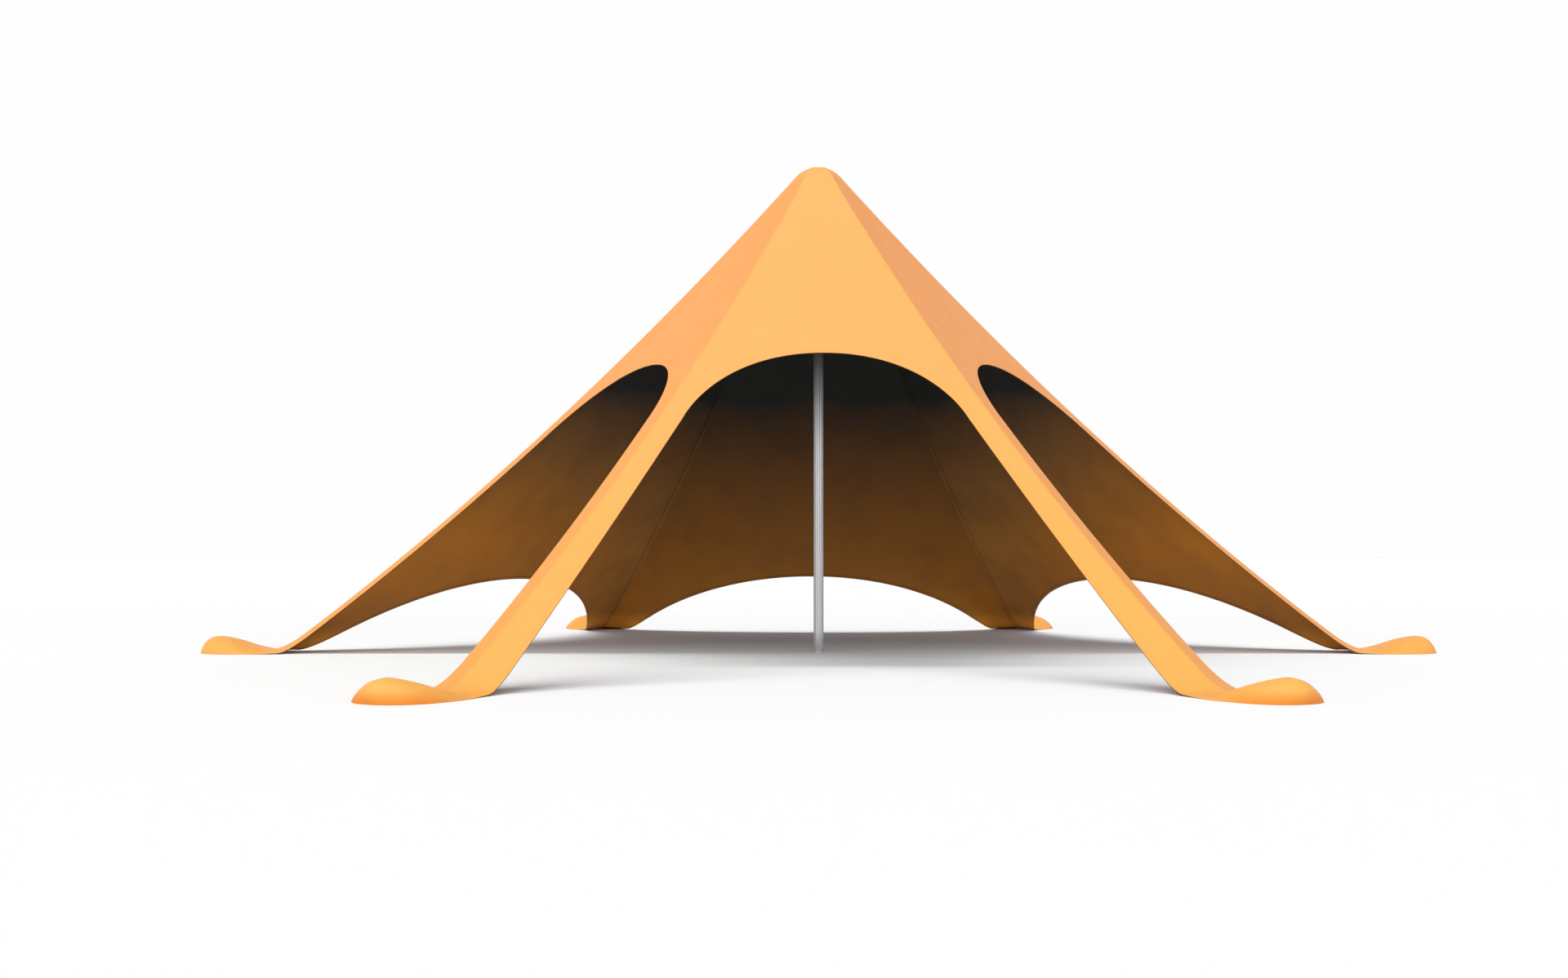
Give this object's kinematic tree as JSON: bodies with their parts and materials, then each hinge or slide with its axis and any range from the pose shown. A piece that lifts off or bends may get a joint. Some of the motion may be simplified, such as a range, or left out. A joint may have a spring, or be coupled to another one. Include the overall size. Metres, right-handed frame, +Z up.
{
  "type": "star-shaped pyramid tent",
  "caption": "Large single-mast star tent: plain stretched cloth canopy in pointed arms, high arched entrances at the front, low scallops behind, domed hoods over its feet.",
  "frame": {"origin": "on the ground under the middle of the mast", "axes": "+Z up, -Y out through the middle entrance, +X along the right-hand arm"},
  "size_m": [13.902, 12.1422, 5.52],
  "materials": {
    "canopy_cloth": "matte coated polyester",
    "webbing": "woven webbing",
    "mast_aluminium": "satin anodised",
    "plate_steel": "galvanised"
  },
  "bodies": {
    "root": {"gore_front": "canopy_cloth", "gore_front_right": "canopy_cloth", "gore_back_right": "canopy_cloth", "gore_back": "canopy_cloth", "gore_back_left": "canopy_cloth", "gore_front_left": "canopy_cloth", "apex_cap": "canopy_cloth", "hood_right": "canopy_cloth", "hood_back_right": "canopy_cloth", "hood_back_left": "canopy_cloth", "hood_left": "canopy_cloth", "hood_front_left": "canopy_cloth", "hood_front_right": "canopy_cloth", "edge_hem_front": "webbing", "edge_hem_front_right": "webbing", "edge_hem_back_right": "webbing", "edge_hem_back": "webbing", "edge_hem_back_left": "webbing", "edge_hem_front_left": "webbing", "ridge_belt_right": "webbing", "ridge_belt_back_right": "webbing", "ridge_belt_back_left": "webbing", "ridge_belt_left": "webbing", "ridge_belt_front_left": "webbing", "ridge_belt_front_right": "webbing", "ground_plate_right": "plate_steel", "ground_plate_back_right": "plate_steel", "ground_plate_back_left": "plate_steel", "ground_plate_left": "plate_steel", "ground_plate_front_left": "plate_steel", "ground_plate_front_right": "plate_steel", "mast_tube": "mast_aluminium", "mast_foot": "mast_aluminium", "mast_socket": "mast_aluminium", "mast_head_plate": "mast_aluminium"}
  },
  "joints": []
}
